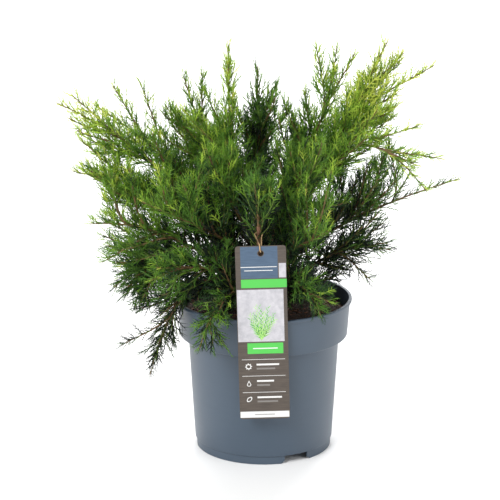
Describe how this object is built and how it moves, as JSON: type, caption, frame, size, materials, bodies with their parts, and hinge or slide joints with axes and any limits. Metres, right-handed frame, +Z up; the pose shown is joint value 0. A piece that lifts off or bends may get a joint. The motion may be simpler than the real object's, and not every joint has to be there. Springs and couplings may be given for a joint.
{
  "type": "potted juniper",
  "caption": "Spreading juniper shrub with a short trunk, arching boughs and feathery sprays, growing in a round nursery pot with a card label tied on",
  "frame": {"origin": "centre of the pot's flat underside, on the surface it stands on", "axes": "+Z up along the pot's axis, -Y towards the label at the front, +X to the right seen from the front"},
  "size_m": [0.4416, 0.2915, 0.4533],
  "materials": {
    "pot_plastic": "satin moulded plastic, slate blue-grey",
    "soil": "damp dark potting soil with bits of bark",
    "bark": "thin reddish brown bark, slightly scaly",
    "foliage": "feathery scale-leaved sprays, yellow-green at the tips and dark green inside",
    "card": "printed card label, satin",
    "twine": "tan twisted twine"
  },
  "bodies": {
    "root": {"bough_back": "bark", "bough_back_left": "bark", "bough_back_left_low": "bark", "bough_back_right": "bark", "bough_back_right_low": "bark", "bough_centre": "bark", "bough_front": "bark", "bough_front_left": "bark", "bough_front_left_low": "bark", "bough_front_left_mid": "bark", "bough_front_right": "bark", "bough_front_right_mid": "bark", "bough_left_droop": "bark", "bough_left_low": "bark", "bough_left_lower": "bark", "bough_left_mid": "bark", "bough_left_tall": "bark", "bough_left_upper": "bark", "bough_left_whip": "bark", "bough_right_arch": "bark", "bough_right_far": "bark", "bough_right_high": "bark", "bough_right_low": "bark", "bough_right_tall": "bark", "bough_tall_left": "bark", "foliage_back": "foliage", "foliage_back_left": "foliage", "foliage_back_left_low": "foliage", "foliage_back_low": "foliage", "foliage_back_right": "foliage", "foliage_back_right_low": "foliage", "foliage_centre": "foliage", "foliage_front": "foliage", "foliage_front_left": "foliage", "foliage_front_left_droop": "foliage", "foliage_front_left_low": "foliage", "foliage_front_left_mid": "foliage", "foliage_front_right": "foliage", "foliage_front_right_low": "foliage", "foliage_front_right_mid": "foliage", "foliage_left_droop": "foliage", "foliage_left_low": "foliage", "foliage_left_lower": "foliage", "foliage_left_mid": "foliage", "foliage_left_tall": "foliage", "foliage_left_upper": "foliage", "foliage_left_whip": "foliage", "foliage_right_arch": "foliage", "foliage_right_far": "foliage", "foliage_right_high": "foliage", "foliage_right_low": "foliage", "foliage_right_tall": "foliage", "foliage_tall_left": "foliage", "label_card": "card", "label_tie": "twine", "pot": "pot_plastic", "potting_soil": "soil", "trunk": "bark"}
  },
  "joints": []
}
